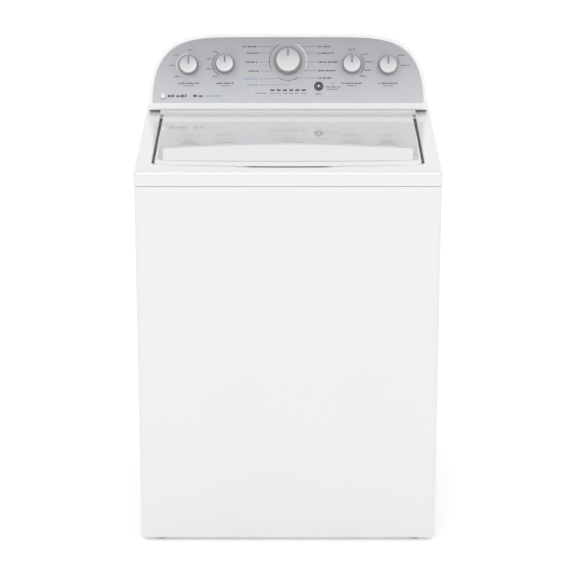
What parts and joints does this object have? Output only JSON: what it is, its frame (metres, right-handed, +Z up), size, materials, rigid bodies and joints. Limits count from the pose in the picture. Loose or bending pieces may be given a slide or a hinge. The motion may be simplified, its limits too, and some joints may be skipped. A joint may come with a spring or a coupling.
{
  "type": "top load washing machine",
  "caption": "Top load washing machine with a hinged lid, sloped control console with knobs, suspended tub, perforated basket, agitator and belt drive.",
  "frame": {"origin": "on the floor, under the centre of the machine's bounding box", "axes": "+X to the right seen from the front, +Y from the front to the rear, +Z up"},
  "size_m": [0.699, 0.686, 1.0972],
  "materials": {
    "white_enamel": "gloss",
    "zinc_steel": "satin",
    "white_plastic": "gloss",
    "overlay_silver": "satin",
    "knob_silver": "satin",
    "button_black": "gloss",
    "lens_smoke": "gloss",
    "basket_steel": "satin",
    "tub_plastic": "matte",
    "ring_plastic": "satin",
    "agitator_plastic": "satin",
    "cup_plastic": "satin",
    "black_rubber": "matte",
    "grey_rubber": "matte",
    "cast_alloy": "satin",
    "motor_black": "satin",
    "board_green": "satin",
    "black_nylon": "satin",
    "white_nylon": "satin",
    "valve_plastic": "satin",
    "hose_grey": "satin"
  },
  "bodies": {
    "cabinet": {"cabinet_wrap": "white_enamel", "rear_panel": "zinc_steel", "panel_screws": "zinc_steel", "base_frame": "zinc_steel", "foot_locknuts": "zinc_steel", "top_gussets": "zinc_steel", "suspension_rods": "zinc_steel", "rod_end_cups": "black_nylon", "suspension_springs": "zinc_steel", "top_panel": "white_enamel", "lid_lock_housing": "black_nylon", "lid_hinge_bushes": "white_nylon", "console_shell": "white_plastic", "console_back_cover": "zinc_steel", "control_overlay": "overlay_silver", "control_board": "board_green", "selector_encoders": "black_nylon", "indicator_lenses": "lens_smoke", "inlet_valve": "valve_plastic", "fill_nozzle": "white_nylon", "fill_hose": "black_rubber", "drain_port": "black_nylon", "drain_hose": "hose_grey", "wire_harness": "black_nylon", "cord_gland": "black_nylon"},
    "lid_lock": {"lid_lock_bolt": "white_nylon"},
    "lid": {"lid_skin": "white_enamel", "lid_liner": "white_plastic", "lid_hinge_pins": "zinc_steel", "lid_bumpers": "grey_rubber", "lid_strike": "white_nylon"},
    "load_selector": {"load_knob": "knob_silver"},
    "soil_selector": {"soil_knob": "knob_silver"},
    "cycle_selector": {"cycle_knob": "knob_silver"},
    "temperature_selector": {"temperature_knob": "knob_silver"},
    "rinse_selector": {"rinse_knob": "knob_silver"},
    "start": {"start_button": "button_black"},
    "left_foot": {"foot_front_left": "grey_rubber"},
    "right_foot": {"foot_front_right": "grey_rubber"},
    "rear_leg": {"rear_leveling_leg": "zinc_steel"},
    "tub": {"outer_tub": "tub_plastic", "tub_ring": "white_plastic", "tub_bearings": "zinc_steel", "tub_seal": "black_rubber", "bearing_housing": "cast_alloy", "mode_shifter": "black_nylon", "motor_body": "motor_black", "drive_belt": "black_rubber", "pump_body": "white_nylon"},
    "clutch": {"clutch_sleeve": "zinc_steel"},
    "motor_rotor": {"motor_pulley": "zinc_steel"},
    "pump_rotor": {"pump_impeller": "white_nylon"},
    "basket": {"basket_wall": "basket_steel", "basket_base": "ring_plastic", "balance_ring": "ring_plastic", "spin_tube": "zinc_steel"},
    "agitator": {"agitator": "agitator_plastic", "softener_cup": "cup_plastic", "agitator_shaft": "zinc_steel", "drive_pulley": "cast_alloy"}
  },
  "joints": [
    {"name": "lid_hinge", "type": "hinge", "parent": "cabinet", "child": "lid", "pos_m": [0, 0.148, 0.904], "axis": [-1, 0, 0], "range_deg": [0, 94]},
    {"name": "lid_lock_slide", "type": "slide", "parent": "cabinet", "child": "lid_lock", "axis": [-1, 0, 0], "range_m": [0, 0.008]},
    {"name": "load_knob_turn", "type": "hinge", "parent": "cabinet", "child": "load_selector", "pos_m": [-0.243, 0.20117, 1.0241], "axis": [0, -0.9367, 0.3502], "range_deg": [0, 135]},
    {"name": "soil_knob_turn", "type": "hinge", "parent": "cabinet", "child": "soil_selector", "pos_m": [-0.1545, 0.20222, 1.02691], "axis": [0, -0.9367, 0.3502], "range_deg": [0, 150]},
    {"name": "cycle_knob_turn", "type": "hinge", "parent": "cabinet", "child": "cycle_selector", "pos_m": [0, 0.20502, 1.0344], "axis": [0, -0.9367, 0.3502], "continuous": true},
    {"name": "temperature_knob_turn", "type": "hinge", "parent": "cabinet", "child": "temperature_selector", "pos_m": [0.156, 0.20205, 1.02644], "axis": [0, -0.9367, 0.3502], "range_deg": [-135, 0]},
    {"name": "rinse_knob_turn", "type": "hinge", "parent": "cabinet", "child": "rinse_selector", "pos_m": [0.2446, 0.20117, 1.0241], "axis": [0, -0.9367, 0.3502], "range_deg": [-90, 0]},
    {"name": "start_press", "type": "slide", "parent": "cabinet", "child": "start", "axis": [0, 0.9367, -0.3502], "range_m": [0, 0.0025], "stiffness_N_per_m": 400, "springref_m": -0.002},
    {"name": "left_foot_screw", "type": "slide", "parent": "cabinet", "child": "left_foot", "axis": [0, 0, -1], "range_m": [0, 0.02]},
    {"name": "right_foot_screw", "type": "slide", "parent": "cabinet", "child": "right_foot", "axis": [0, 0, -1], "range_m": [0, 0.02]},
    {"name": "rear_leg_rock", "type": "hinge", "parent": "cabinet", "child": "rear_leg", "pos_m": [0, 0.258, 0.024], "axis": [0, 1, 0], "range_deg": [-1.2, 1.2]},
    {"name": "tub_travel", "type": "slide", "parent": "cabinet", "child": "tub", "axis": [0, 0, 1], "range_m": [-0.03, 0.012], "stiffness_N_per_m": 14000, "springref_m": 0.02366, "deforming": ["suspension_springs", "drain_hose", "wire_harness"]},
    {"name": "clutch_shift", "type": "slide", "parent": "tub", "child": "clutch", "axis": [0, 0, 1], "range_m": [0, 0.006]},
    {"name": "basket_spin", "type": "hinge", "parent": "tub", "child": "basket", "pos_m": [0, -0.02, 0.2], "axis": [0, 0, 1], "continuous": true},
    {"name": "agitator_turn", "type": "hinge", "parent": "tub", "child": "agitator", "pos_m": [0, -0.02, 0.2], "axis": [0, 0, 1], "continuous": true},
    {"name": "motor_turn", "type": "hinge", "parent": "tub", "child": "motor_rotor", "pos_m": [-0.17, -0.02, 0.1], "axis": [0, 0, 1], "continuous": true},
    {"name": "pump_turn", "type": "hinge", "parent": "tub", "child": "pump_rotor", "pos_m": [0.165, 0.06, 0.15], "axis": [0, 0, 1], "continuous": true}
  ],
  "couplings": [
    {"joint": "motor_turn", "follows": "agitator_turn", "ratio": 7.5}
  ]
}
